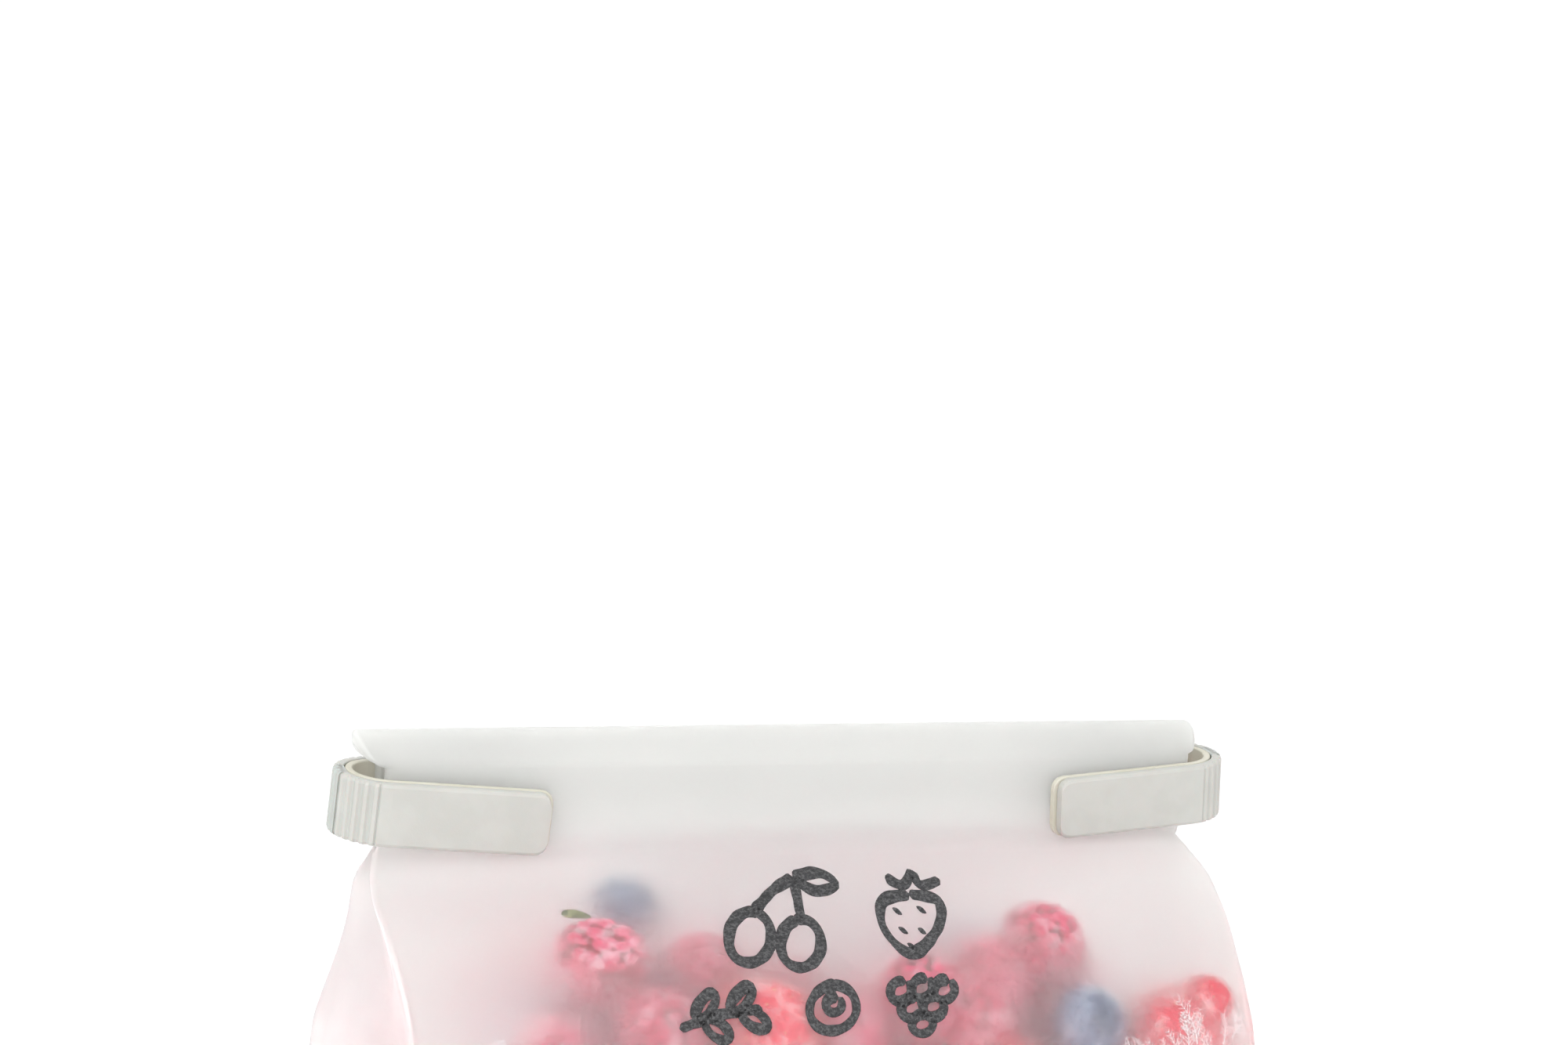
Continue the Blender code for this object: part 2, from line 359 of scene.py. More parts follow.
shell = wavyShell(bagSurface())
normals = gridNormals(shell)
neckShare = np.clip((shell[:, :, 2:3] - 140.0) / 8.0, 0, 1)
wall = bag["wall"] + (bag["neckWall"] - bag["wall"]) * neckShare
lining = shell - normals * wall

bm = bmesh.new()
tubeMesh(bm, lining, True)
for face in bm.faces:
    face.material_index = 1
liningTree = BVHTree.FromBMesh(bm)  # its faces look into the bag
tubeMesh(bm, shell, False)
filmBag = finishPiece(
    "film_bag", bm,
    [filmFinish("filmOutside", film["outerRoughness"], film["outerVeil"]),
     filmFinish("filmInside", film["innerRoughness"], film["innerVeil"])],
)
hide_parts("bag")
print("film made:", len(filmBag.data.polygons), "faces")


clip = {
    "plastic": ((0.50, 0.505, 0.475), (0.525, 0.53, 0.50)),
    "liner": ((0.62, 0.60, 0.50), (0.66, 0.64, 0.55)),
    "plasticRoughness": 0.45,
    "linerRoughness": 0.55,
}
clipPlastic = Finish("clipPlastic", Roughness=clip["plasticRoughness"], Subsurface_Weight=0.15,
                     Subsurface_Scale=0.002)
clipPlastic.bump(clipPlastic.noise(2600.0, 2.0), 0.08, 0.0002)
clipPlastic.feed(Base_Color=clipPlastic.blend(
    clipPlastic.span(clipPlastic.noise(160.0), 0.35, 0.65), *clip["plastic"]))
linerRubber = Finish("linerRubber", Roughness=clip["linerRoughness"])
linerRubber.bump(linerRubber.noise(3000.0, 2.0), 0.1, 0.0002)
linerRubber.feed(Base_Color=linerRubber.blend(
    linerRubber.span(linerRubber.noise(140.0), 0.35, 0.65), *clip["liner"]))
for name, finish in (("clip_left", clipPlastic), ("clip_right", clipPlastic),
                     ("clip_left_liner", linerRubber), ("clip_right_liner", linerRubber)):
    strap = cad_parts[name]
    strap.data.materials.clear()
    strap.data.materials.append(finish.material)
print("clips finished")


fruit = {
    "seed": 11,
    "count": 330,
    "coreCentre": (0.0, 0.0, 52.0),
    "coreHalf": (66.0, 27.0, 42.0),
    "rounds": 160,
    "filmGap": 0.08,
    "pressReach": 4.0,
    "touchShare": 0.22,
    "sizes": {
        "raspberry": (8.8, 10.4),
        "blueberry": (6.2, 8.2),
        "strawberry": (11.5, 14.0),
        "bramble": (9.0, 11.0),
    },
    "shares": (0.54, 0.25, 0.13, 0.08),  # of each kind, in the order of sizes
    "fine": 26,  # how many of each kind get the finer form
}

# how high the heap reaches along the bag's width
heapX = np.array([-92, -75, -62, -50, -40, -20, 0, 10, 25, 40, 55, 68, 80, 92.0])
heapTop = np.array([64, 80, 104, 124, 130, 127, 121, 119, 121, 126, 124, 112, 112, 100.0])

# kind, x, height, radius, gap behind the film, turn
placedBerries = [
    ("raspberry", -49.5, 125.5, 11.0, -1.3, 0.3),
    ("blueberry", -39.0, 132.0, 7.4, 4.2, 2.0),
    ("raspberry", -62.0, 109.0, 9.6, 3.2, 1.3),
    ("blueberry", 53.0, 113.2, 8.0, -0.5, 0.1),
    ("raspberry", 48.0, 127.2, 9.6, -0.8, 4.0),
    ("raspberry", 16.0, 119.0, 10.2, -0.9, 2.2),
    ("strawberry", -19.0, 114.5, 12.5, -0.9, 0.4),
    ("raspberry", -27.0, 122.0, 9.4, 7.0, 5.1),
    ("raspberry", 35.0, 120.0, 9.8, 6.0, 0.7),
    ("strawberry", 74.0, 108.5, 13.0, -1.1, 2.6),
    ("strawberry", 80.5, 116.5, 6.5, -0.7, 0.8),
    ("raspberry", 28.0, 114.0, 9.8, 2.4, 3.3),
    ("raspberry", -40.0, 114.0, 9.8, 2.0, 3.9),
]

rng = np.random.default_rng(fruit["seed"])
tableZ = bagStations[:, 0]
fixed = len(placedBerries)


def reach(z, column):
    return np.interp(z, tableZ, bagStations[:, column])


def frontDepth(x, z):
    across = (np.clip(x / 90.0, -1, 1) + 1) / 2
    return reach(z, 2) * (1 - across) + reach(z, 3) * across + reach(z, 6) * bow(x, 88.0) - bag["wall"]


def backDepth(x, z):
    return reach(z, 4) + reach(z, 6) * bow(x, 88.0) - bag["wall"]


# clear distance from each berry to the film, and how steeply the film leans there
def wallGap(p, r, depth, sign):
    x, z = p[:, 0] - bag["centreX"], p[:, 2]
    lean = (depth(x, z + 1.5) - depth(x, z - 1.5)) / 3.0
    return (depth(x, z) - sign * (p[:, 1] - bag["centreY"])) / np.sqrt(1 + lean * lean) - r, lean


def packBerries():
    kinds = [b[0] for b in placedBerries]
    radii = [b[3] for b in placedBerries]
    gaps = [b[4] for b in placedBerries]
    points = [(b[1], 0.0, b[2]) for b in placedBerries]
    while len(points) < fruit["count"]:
        kind = str(rng.choice(list(fruit["sizes"]), p=fruit["shares"]))
        p = np.array([rng.uniform(-88, 88), rng.uniform(-50, 50), rng.uniform(8, 138)])
        if p[2] > np.interp(p[0], heapX, heapTop) - 7:
            continue
        if -p[1] > frontDepth(p[0], p[2]) - 6 or p[1] > backDepth(p[0], p[2]) - 6:
            continue
        if (np.abs((p - fruit["coreCentre"]) / fruit["coreHalf"]) ** 4).sum() < 0.9:
            continue
        points.append(tuple(p))
        kinds.append(kind)
        radii.append(rng.uniform(*fruit["sizes"][kind]))
        gaps.append(rng.uniform(-0.9, -0.3) if rng.random() < fruit["touchShare"] else rng.uniform(1.8, 4.5))
    p, r, gap = np.array(points, float), np.array(radii), np.array(gaps)
    loose = np.arange(len(r)) >= fixed
    for _ in range(fruit["rounds"]):
        away = p[:, None] - p[None]
        distance = np.linalg.norm(away, axis=2) + np.eye(len(r)) * 99
        overlap = np.maximum((r[:, None] + r[None]) * 0.95 - distance, 0)
        push = (away / distance[:, :, None] * overlap[:, :, None]).sum(1) * 0.36
        p[loose] += push[loose]
        core = (p - fruit["coreCentre"]) / (np.array(fruit["coreHalf"]) + r[:, None] * 0.4)
        inside = ((np.abs(core) ** 4).sum(1) < 1) & loose
        p[inside] += np.sign(core[inside]) * np.array([0.5, 1.4, 0.8])
        ceiling = np.interp(p[:, 0], heapX, heapTop) - r - 0.5 * np.maximum(p[:, 1] + 16, 0)
        p[loose, 2] = np.clip(p[:, 2], r + bag["wall"], np.maximum(ceiling, r + 2))[loose]
        half = reach(p[:, 2], 1) + np.minimum(reach(p[:, 2], 7) * 0.7, 0) - bag["wall"] - r
        p[:, 0] = np.clip(p[:, 0], bag["centreX"] - half, bag["centreX"] + half)
        for depth, sign, keep in ((backDepth, 1, 0.2), (frontDepth, -1, gap)):
            clear, lean = wallGap(p, r, depth, sign)
            short = np.minimum(clear - keep, 0)
            if sign < 0:
                short[:fixed] = (clear - keep)[:fixed]
            p[:, 1] += sign * short * np.sqrt(1 + lean * lean) * np.where(loose, 0.7, 1.0)
    return kinds, p, r


kinds, berryPlaces, berryRadii = packBerries()
print("berries packed:", {k: kinds.count(k) for k in sorted(set(kinds))})


# the forms are all of radius 1, about their own centre
def spread(count, jitter, generator):  # points spread evenly over a ball
    k = np.arange(count) + 0.5
    polar, turn = np.arccos(1 - 2 * k / count), np.pi * (1 + 5 ** 0.5) * k
    points = np.stack([np.cos(turn) * np.sin(polar), np.sin(turn) * np.sin(polar), np.cos(polar)], 1)
    points += generator.normal(size=points.shape) * jitter
    return points / np.linalg.norm(points, axis=1, keepdims=True)


def ball(detail):
    bm = bmesh.new()
    bmesh.ops.create_icosphere(bm, subdivisions=detail, radius=1.0)
    return bm, np.array([v.co[:] for v in bm.verts])


def storeForm(name, bm, points, mask):
    layer = bm.verts.layers.float.new("tone")
    for vert, point, tone in zip(bm.verts, points, mask):
        vert.co = point
        vert[layer] = float(tone)
    mesh = bpy.data.meshes.new(name)
    bm.to_mesh(mesh)
    bm.free()
    return mesh


def drupeletForm(name, detail, drupelets, size, tall, hollow, generator):
    bm, way = ball(detail)
    centres = spread(drupelets, 0.045, generator)
    dots = np.clip(way @ centres.T, -1, 1)
    angle = np.arccos(dots)
    own = size * (1 + 0.12 * generator.normal(size=drupelets))
    share = np.min(angle / own[None], axis=1)
    bump = np.sqrt(np.clip(1 - share ** 2, 0, 1))
    radius = 0.84 + 0.17 * bump
    z = way[:, 2]
    radius = radius * (1 - 0.10 * np.clip(-z, 0, 1) ** 2)
    points = way * radius[:, None] * np.array([0.94, 0.94, tall])
    if hollow:
        rimmed = np.clip((z - 0.86) / 0.12, 0, 1)
        points[:, 2] -= rimmed ** 2 * 0.55
    return storeForm(name, bm, points, bump)


def blueberryForm(name, detail, generator):
    bm, way = ball(detail)
    polar = np.arccos(np.clip(way[:, 2], -1, 1))
    turn = np.arctan2(way[:, 1], way[:, 0])
    lobes = 0.5 + 0.5 * np.cos(5 * turn + generator.uniform(0, 6))
    rim = np.exp(-((polar - 0.36) / 0.075) ** 2) * (0.05 + 0.10 * lobes)
    crater = np.exp(-(polar / 0.27) ** 4) * 0.16
    radius = 1 + rim - crater
    points = way * radius[:, None] * np.array([1.0, 1.0, 0.86])
    return storeForm(name, bm, points, np.clip(rim * 6 + crater * 5, 0, 1))


def strawberryForm(name, detail, generator):
    bm, way = ball(detail)
    seeds = spread(110, 0.03, generator)
    angle = np.arccos(np.clip(way @ seeds.T, -1, 1)).min(1)
    dimple = np.exp(-(angle / 0.085) ** 2)
    seed = np.exp(-(angle / 0.04) ** 2)
    z = way[:, 2]
    girth = np.interp(z, [-1, -0.8, -0.3, 0.3, 0.75, 1.0], [0.35, 0.66, 0.86, 1.0, 0.98, 0.75])
    lumpy = 1 + 0.05 * np.sin(3 * way[:, 0] + 1.3) * np.cos(2.5 * way[:, 1])
    radius = (1 - 0.045 * dimple + 0.03 * seed)
    points = way * radius[:, None] * np.stack([girth * lumpy, girth * 0.92, np.full(len(z), 1.12)], 1)
    points[:, 2] -= np.clip((z - 0.9) / 0.1, 0, 1) * 0.12
    return storeForm(name, bm, points, seed)


forms = {
    "raspberry": [drupeletForm(f"raspberryForm{k}", 5, 92, 0.215, 1.04, True, rng) for k in range(3)],
    "raspberryFar": [drupeletForm(f"raspberryFar{k}", 4, 58, 0.27, 1.04, True, rng) for k in range(2)],
    "bramble": [drupeletForm(f"brambleForm{k}", 5, 64, 0.26, 1.08, False, rng) for k in range(2)],
    "brambleFar": [drupeletForm(f"brambleFar{k}", 4, 50, 0.29, 1.08, False, rng) for k in range(2)],
    "blueberry": [blueberryForm(f"blueberryForm{k}", 4, rng) for k in range(3)],
    "strawberry": [strawberryForm(f"strawberryForm{k}", 5, rng) for k in range(2)],
}


# colours of each kind: the darker and lighter skin, the painted shade in the creases (crown or seeds for blueberry
# and strawberry), and the frost
berryColors = {
    "raspberry": ((0.66, 0.04, 0.12), (0.80, 0.10, 0.21), (0.30, 0.004, 0.02), (0.93, 0.78, 0.85)),
    "bramble": ((0.16, 0.02, 0.09), (0.34, 0.04, 0.15), (0.08, 0.01, 0.04), (0.85, 0.76, 0.84)),
    "blueberry": ((0.05, 0.075, 0.18), (0.22, 0.30, 0.46), (0.05, 0.06, 0.14), (0.82, 0.86, 0.92)),
    "strawberry": ((0.74, 0.03, 0.07), (0.80, 0.055, 0.10), (0.78, 0.38, 0.22), (0.97, 0.84, 0.84)),
}


def frosting(finish, low, high, amount):
    return finish.span(finish.noise(220.0, 5.0, 0.65), low, high, 0.0, amount)


def clusterFinish(kind, roughness, patchScale, frost):  # fruit made of drupelets, with painted shade in the creases between them
    dark, light, creaseShade, ice = berryColors[kind]
    finish = Finish(kind + "Flesh", Roughness=roughness)
    patches = finish.span(finish.noise(patchScale, 2.0), 0.35, 0.65)
    # the crease colour is painted shade, laid where the tone attribute is low between the drupelets
    shaded = finish.blend(finish.span(finish.attribute("tone"), 0.0, 0.7), creaseShade, finish.blend(patches, dark, light))
    finish.feed(Base_Color=finish.blend(frosting(finish, *frost), shaded, ice))
    return finish.bump(finish.noise(1500.0, 3.0), 0.15, 0.0004)


def blueberryFinish():
    dark, light, crown, ice = berryColors["blueberry"]
    finish = Finish("blueberrySkin", Roughness=0.6)
    bloom = finish.span(finish.noise(110.0, 4.0, 0.6), 0.3, 0.7)
    skin = finish.blend(finish.attribute("tone"), finish.blend(bloom, dark, light), crown)
    finish.feed(Base_Color=finish.blend(frosting(finish, 0.46, 0.78, 0.47), skin, ice))
    return finish.bump(finish.noise(1800.0, 3.0), 0.1, 0.0003)


def strawberryFinish():
    dark, light, seed, ice = berryColors["strawberry"]
    finish = Finish("strawberryFlesh", Roughness=0.4)
    flesh = finish.blend(finish.span(finish.noise(55.0, 2.0), 0.35, 0.65), dark, light)
    seeded = finish.blend(finish.span(finish.attribute("tone"), 0.35, 0.7), flesh, seed)
    finish.feed(Base_Color=finish.blend(frosting(finish, 0.44, 0.74, 0.52), seeded, ice))
    return finish.bump(finish.noise(1500.0, 3.0), 0.12, 0.0004)


def fleshy(finish, weight, spreadBlue):  # lets a little light into the flesh
    inputs = finish.shader.inputs
    inputs["Subsurface Weight"].default_value = weight
    inputs["Subsurface Scale"].default_value = 0.002
    inputs["Subsurface Radius"].default_value = (1.0, 0.3, spreadBlue)
    return finish.material


berryFinishes = {
    "raspberry": ("raspberries", fleshy(clusterFinish("raspberry", 0.42, 70.0, (0.44, 0.72, 0.57)), 0.35, 0.3),
                  "raspberry_red"),
    "bramble": ("brambles", clusterFinish("bramble", 0.4, 90.0, (0.44, 0.75, 0.52)).material, "bramble_purple"),
    "blueberry": ("blueberries", blueberryFinish().material, "blueberry_skin"),
    "strawberry": ("strawberries", fleshy(strawberryFinish(), 0.3, 0.2), "strawberry_red"),
}


def pressAgainstFilm(bm, verts):  # flattens what would poke through the film's inner face
    for vert in verts:
        place, normal, face, distance = liningTree.find_nearest(vert.co, fruit["pressReach"] * mm)
        if place is not None:
            depth = (vert.co - place).dot(normal)
            if depth < -fruit["filmGap"] * mm:
                vert.co = place - normal * fruit["filmGap"] * mm


def heapBerries(kind):
    name, material, slot = berryFinishes[kind]
    bm = bmesh.new()
    clear = wallGap(berryPlaces, berryRadii, frontDepth, -1)[0]
    chosen = [i for i, k in enumerate(kinds) if k == kind]
    fine = set(sorted(chosen, key=lambda i: (i >= fixed, clear[i]))[:fruit["fine"]])
    for i in chosen:
        far = kind + "Far"
        pool = forms[kind] if i in fine or far not in forms else forms[far]
        form = pool[i % len(pool)]
        if i >= fixed:
            turn = Euler(rng.uniform(0, 6.28, 3)).to_matrix()
        elif kind == "blueberry":
            turn = Euler((math.radians(72), 0.25, placedBerries[i][5])).to_matrix()
        else:
            turn = Euler((1.9 + 0.5 * math.sin(i), 0.3 * math.cos(i * 2), placedBerries[i][5])).to_matrix()
        first = len(bm.verts)
        bm.from_mesh(form)
        bm.verts.ensure_lookup_table()
        own = bm.verts[first:]
        place = Matrix.Translation(Vector(berryPlaces[i] * mm)) @ turn.to_4x4()
        bmesh.ops.transform(bm, matrix=place @ Matrix.Scale(berryRadii[i] * mm, 4), verts=own)
        pressAgainstFilm(bm, own)
    piece = finishPiece(name, bm, [material])
    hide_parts("bag")
    print(name, "made:", len(piece.data.polygons), "faces")


for kind in berryFinishes:
    heapBerries(kind)

# leaves, frost and the marker drawing are thin strips that follow the front film
bm = bmesh.new()
bm.from_mesh(filmBag.data)
filmTree = BVHTree.FromBMesh(bm)
bm.free()


# a point over the front film's outer face, or inside its wall where lift is negative
def onFilm(x, z, lift):
    x = min(max(x, -90.5), 87.0)  # stays off the rounded side edges
    place, normal, face, distance = filmTree.ray_cast(Vector((x * mm, -0.2, z * mm)), Vector((0, 1, 0)))
    return place + normal * lift * mm


def strip(bm, path, widths, lift, thick, across=2):
    path = np.array(path)
    along = np.gradient(path, axis=0)
    along /= np.maximum(np.linalg.norm(along, axis=1, keepdims=True), 1e-9)
    side = np.stack([-along[:, 1], along[:, 0]], 1)
    made = bmesh.ops.create_grid(bm, x_segments=across, y_segments=len(path) - 1, size=1.0)["verts"]
    for row in range(len(path)):
        for column in range(across + 1):
            x, z = path[row] + side[row] * widths[row] * (column / across - 0.5)
            made[row * (across + 1) + column].co = onFilm(x, z, lift)
    faces = list({f for v in made for f in v.link_faces})
    grown = bmesh.ops.extrude_face_region(bm, geom=faces, use_keep_orig=True)["geom"]
    for vert in grown:
        if isinstance(vert, bmesh.types.BMVert):
            vert.co -= filmTree.find_nearest(vert.co)[1] * thick * mm
    skin = {f for v in made for e in v.link_edges for w in e.verts for f in w.link_faces}
    bmesh.ops.recalc_face_normals(bm, faces=list(skin))


marker = {
    "width": 1.9,
    "lift": 0.10,
    "thick": 0.08,
    "middle": (-7.5, 128.6),
    "tall": 0.8,
    "upright": 0.33,
    "dark": (0.030, 0.030, 0.032),
    "chalky": (0.115, 0.115, 0.118),
}


def arcPath(cx, cz, wide, tall, start, sweep, tilt=0.0):
    turn = np.radians(np.linspace(start, start + sweep, 40))
    x, z = wide * np.cos(turn), tall * np.sin(turn)
    lean = math.radians(tilt)
    across = cx + x * math.cos(lean) - z * math.sin(lean)
    return np.stack([across, cz + x * math.sin(lean) + z * math.cos(lean)], 1)


def curvePath(*points):
    points = np.array(points, float)
    t = np.linspace(0, len(points) - 1, 12 * (len(points) - 1) + 1)
    path = np.stack([np.interp(t, np.arange(len(points)), points[:, k]) for k in (0, 1)], 1)
    for _ in range(30):
        path[1:-1] = (path[:-2] + path[2:] + 2 * path[1:-1]) / 4
    return path


def drawing():  # a hanging pair and a seeded berry, over a leafy sprig, a round berry and a clustered berry
    paths = [
        arcPath(-15.0, 5.0, 4.6, 4.8, 70, 372), arcPath(-4.0, 3.6, 4.4, 4.6, 100, 368),
        curvePath((-14.2, 9.8), (-10.5, 14.4), (-6.0, 16.6)), curvePath((-4.0, 8.4), (-5.0, 12.5), (-6.0, 16.6)),
        curvePath((-6.0, 16.6), (-0.5, 18.2), (5.0, 15.0), (-1.0, 13.2), (-6.0, 16.6)),
        curvePath((20.0, 12.8), (13.2, 12.2), (13.6, 5.8), (20.4, -0.6), (27.0, 5.8), (27.6, 12.0), (20.0, 12.8)),
        curvePath((14.6, 16.6), (19.0, 14.0), (20.6, 17.8)), curvePath((20.6, 17.8), (22.4, 14.0), (27.0, 15.8)),
        curvePath((-29.0, -12.5), (-21.0, -9.6), (-12.0, -9.0)),
        arcPath(3.0, -9.6, 5.0, 4.9, 80, 372), arcPath(3.2, -8.8, 1.7, 1.7, 60, 360),
    ]
    for x, z in ((17.4, 9.4), (22.8, 9.6), (18.6, 5.6), (22.8, 5.4), (20.4, 2.4)):
        paths.append(curvePath((x, z + 0.5), (x - 0.1, z - 0.5)))
    for x, z, tilt in ((-25.5, -10.6, 58), (-18.5, -9.2, 50), (-23.5, -11.0, -42), (-16.0, -9.4, -36)):
        lean = math.radians(tilt)
        paths.append(arcPath(x + 3.0 * math.cos(lean), z + 3.0 * math.sin(lean), 3.2, 1.5, 180, 352, tilt))
    for x, z in ((17.6, -6.6), (22.4, -6.2), (27.2, -6.8), (20.0, -10.4), (24.8, -10.4), (22.4, -14.0)):
        paths.append(arcPath(x, z, 2.3, 2.2, 60, 360))
    upright = []
    for path in paths:
        x, z = path[:, 0] + marker["middle"][0], path[:, 1] * marker["tall"] + marker["middle"][1]
        # the panel slopes, so each stroke shifts sideways with its depth to stand upright from the left front
        upright.append(np.stack([x - marker["upright"] * (frontDepth(x, z) - frontDepth(x, 127.0)), z], 1))
    return upright


bm = bmesh.new()
for path in drawing():
    travelled = np.concatenate([[0], np.cumsum(np.linalg.norm(np.diff(path, axis=0), axis=1))])
    even = np.linspace(0, travelled[-1], max(int(travelled[-1] / 0.45), 5))
    path = np.stack([np.interp(even, travelled, path[:, k]) for k in (0, 1)], 1)
    tip = np.minimum(np.minimum(even, even[-1] - even) + 0.02, marker["width"] / 2) / (marker["width"] / 2)
    press = 1 + 0.13 * np.sin(even * 0.45 + path[0, 0]) + 0.05 * np.sin(even * 1.7)
    strip(bm, path, marker["width"] * np.sqrt(1 - (1 - tip) ** 2) * press, marker["lift"], marker["thick"], 4)
ink = Finish("markerInk", Roughness=0.9)
chalk = ink.noise(1400.0, 5.0, 0.75)
ink.feed(Base_Color=ink.blend(ink.span(chalk, 0.42, 0.66), marker["dark"], marker["chalky"]))
drawn = finishPiece("marker_drawing", bm, [ink.material])
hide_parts("bag")
print("marker drawing made:", len(drawn.data.polygons), "faces")

frost = {
    "lift": -0.85,
    "thick": 0.05,
    "right": (74.0, 105.0, 12.0, 10),  # x, height, half width of the patch, number of ferns
    "left": (-85.0, 104.0, 6.0, 8),
    "length": (5.5, 10.0),
    "colors": ((0.88, 0.84, 0.86), (0.96, 0.95, 0.96)),
}


def growFern(bm, x, z, heading, length, generation):
    steps = max(int(length / 0.8), 3)
    bendBy = rng.normal() * 0.05
    path, at, way = [(x, z)], np.array([x, z]), heading
    for step in range(steps):
        way += bendBy + rng.normal() * 0.05
        at = at + np.array([math.cos(way), math.sin(way)]) * length / steps
        path.append(tuple(at))
        if generation < 2 and step > 0:
            for side in (1, -1):
                reachOut = length * (0.42 - 0.3 * step / steps) * rng.uniform(0.7, 1.2)
                if reachOut > 0.5:
                    growFern(bm, *at, way + side * rng.uniform(0.7, 1.0), reachOut, generation + 1)
    taper = np.linspace(1.0, 0.3, len(path)) * (0.24, 0.17, 0.13)[generation]
    strip(bm, path, taper, frost["lift"], frost["thick"], 1)


bm = bmesh.new()
for x, z, spreadBy, number in (frost["right"], frost["left"]):
    for k in range(number):
        part = k / (number - 1) - 0.5
        growFern(bm, x + part * spreadBy * 1.6, z + rng.uniform(-2, 6), 1.57 - part * 1.6 + rng.normal() * 0.2,
                 rng.uniform(*frost["length"]), 0)
ice = Finish("frostIce", Roughness=0.5)
ice.feed(Base_Color=ice.blend(ice.noise(1500.0, 2.0), *frost["colors"]))
ferns = finishPiece("frost_ferns", bm, [ice.material], smooth=False)
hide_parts("bag")
print("frost made:", len(ferns.data.polygons), "faces")

# places: x, height, tilt, length and width of each leaf
leaf = {
    "lift": -0.9,
    "thick": 0.1,
    "colors": ((0.10, 0.13, 0.035), (0.30, 0.31, 0.13)),
    "places": [
        (-53.4, 136.6, -4, 6.0, 1.25),
        (-30.0, 96.0, 38, 8.0, 2.2),
        (22.0, 84.0, -24, 9.0, 2.4),
        (60.0, 60.0, 70, 7.0, 2.0),
    ],
}
bm = bmesh.new()
for x, z, tilt, length, width in leaf["places"]:
    t = np.linspace(-0.5, 0.5, 15)
    lean = math.radians(tilt)
    droop = 0.5 - 2 * t * t
    path = np.stack([x + length * t * math.cos(lean), z + length * t * math.sin(lean) + droop * 0.5], 1)
    widths = width * np.sqrt(np.maximum(1 - (2 * t) ** 2, 0.002)) * (1 - 0.5 * t)
    strip(bm, path, widths, leaf["lift"], leaf["thick"], 2)
green = Finish("leafGreen", Roughness=0.6)
green.feed(Base_Color=green.blend(green.span(green.noise(500.0, 3.0), 0.4, 0.62), *leaf["colors"]))
leafBits = finishPiece("leaf_bits", bm, [green.material])
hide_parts("bag")
print("leaves made")

# one plain lump fills the middle of the heap, where no berry is seen
coreFinish = Finish("berryCore", Roughness=0.6)
coreFinish.feed(Base_Color=coreFinish.blend(
    coreFinish.span(coreFinish.noise(60.0, 3.0), 0.4, 0.6), (0.72, 0.34, 0.42), (0.55, 0.45, 0.58)))
bm = bmesh.new()
bmesh.ops.create_icosphere(bm, subdivisions=5, radius=1.0)
for vert in bm.verts:
    way = np.array(vert.co[:])
    stretch = 1 / (np.abs(way) ** 4).sum() ** 0.25
    lump = 1 + 0.05 * noise.noise(Vector(way * 7))
    vert.co = Vector((way * stretch * lump * fruit["coreHalf"] + fruit["coreCentre"]) * mm)
core = finishPiece("berry_core", bm, [coreFinish.material])
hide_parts("bag")


camera = {
    "azimuth": 19.0,
    "elevation": 7.65,
    "distance": 0.700,
    "roll": 1.97,
    "lens": 74.6,
    "tilt": 3.5419,
    "pan": 0.0415,
}


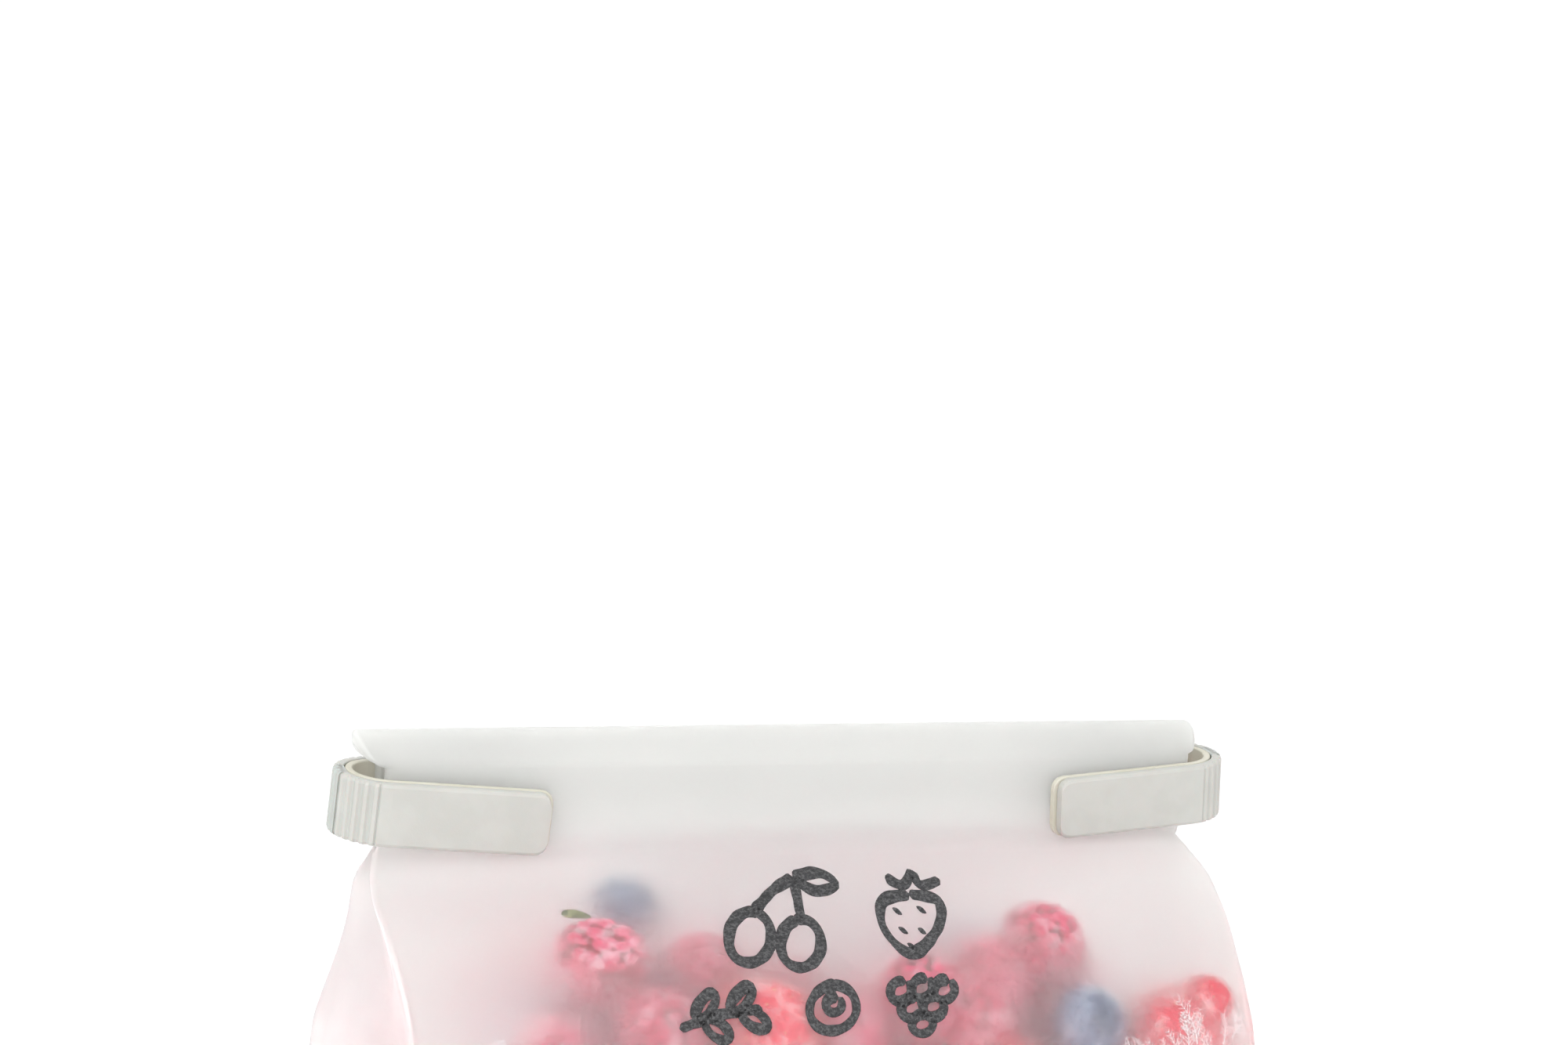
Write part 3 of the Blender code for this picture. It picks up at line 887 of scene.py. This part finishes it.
def aimCamera():
    a, e = math.radians(camera["azimuth"]), math.radians(camera["elevation"])
    away = Vector((-math.sin(a) * math.cos(e), -math.cos(a) * math.cos(e), math.sin(e)))
    ahead = -away
    right = Vector((math.cos(a), -math.sin(a), 0.0))
    up = right.cross(ahead)
    roll = math.radians(camera["roll"])
    right, up = right * math.cos(roll) + up * math.sin(roll), up * math.cos(roll) - right * math.sin(roll)
    tilt = math.radians(camera["tilt"])
    ahead, up = ahead * math.cos(tilt) + up * math.sin(tilt), up * math.cos(tilt) - ahead * math.sin(tilt)
    turn = -math.radians(camera["pan"])
    ahead, right = ahead * math.cos(turn) + right * math.sin(turn), right * math.cos(turn) - ahead * math.sin(turn)
    data = bpy.data.cameras.new("camera")
    data.lens, data.sensor_width = camera["lens"], 36.0
    eye = bpy.data.objects.new("camera", data)
    target = Vector((bag["centreX"] * mm, (bag["centreY"] - 1.0) * mm, foldTop))
    frameMatrix = Matrix((right, up, -ahead)).transposed().to_4x4()
    eye.matrix_world = Matrix.Translation(target + away * camera["distance"]) @ frameMatrix
    bpy.context.scene.collection.objects.link(eye)
    bpy.context.scene.camera = eye


def addLight(name, place, aim, size, watts, color):
    data = bpy.data.lights.new(name, "AREA")
    data.shape, data.size, data.energy, data.color = "DISK", size, watts, color
    lamp = bpy.data.objects.new(name, data)
    lamp.location = place
    lamp.rotation_euler = (Vector(aim) - Vector(place)).to_track_quat("-Z", "Y").to_euler()
    bpy.context.scene.collection.objects.link(lamp)


studio = {
    "floorRadius": 6.0,
    "floorColor": (0.92, 0.92, 0.92),
    "floorGlow": 0.12,
    "skyStrength": 1.04,
    "keyPlace": (-0.6, -0.9, 0.9),
    "keySize": 0.8,
    "keyWatts": 6.6,
    "keyColor": (1.0, 0.99, 0.98),
}

aimCamera()
bm = bmesh.new()
bmesh.ops.create_circle(bm, cap_ends=True, segments=96, radius=studio["floorRadius"])
mesh = bpy.data.meshes.new("floor")
bm.to_mesh(mesh)
bm.free()
floorFinish = Finish("paleFloor", studio["floorColor"], Roughness=0.8, Emission_Strength=studio["floorGlow"])
floorFinish.shader.inputs["Emission Color"].default_value = (1.0, 1.0, 1.0, 1.0)
mesh.materials.append(floorFinish.material)
floor = bpy.data.objects.new("floor", mesh)
bpy.context.scene.collection.objects.link(floor)

world = bpy.data.worlds.new("studio")
world.use_nodes = True
world.node_tree.nodes["Background"].inputs["Color"].default_value = (1.0, 1.0, 1.0, 1.0)
world.node_tree.nodes["Background"].inputs["Strength"].default_value = studio["skyStrength"]
bpy.context.scene.world = world
addLight("key", studio["keyPlace"], (0, 0, 0.1), studio["keySize"], studio["keyWatts"], studio["keyColor"])
bpy.context.scene.view_settings.view_transform = "Standard"
bpy.context.scene.view_settings.look = "None"
print("camera, floor and light set")
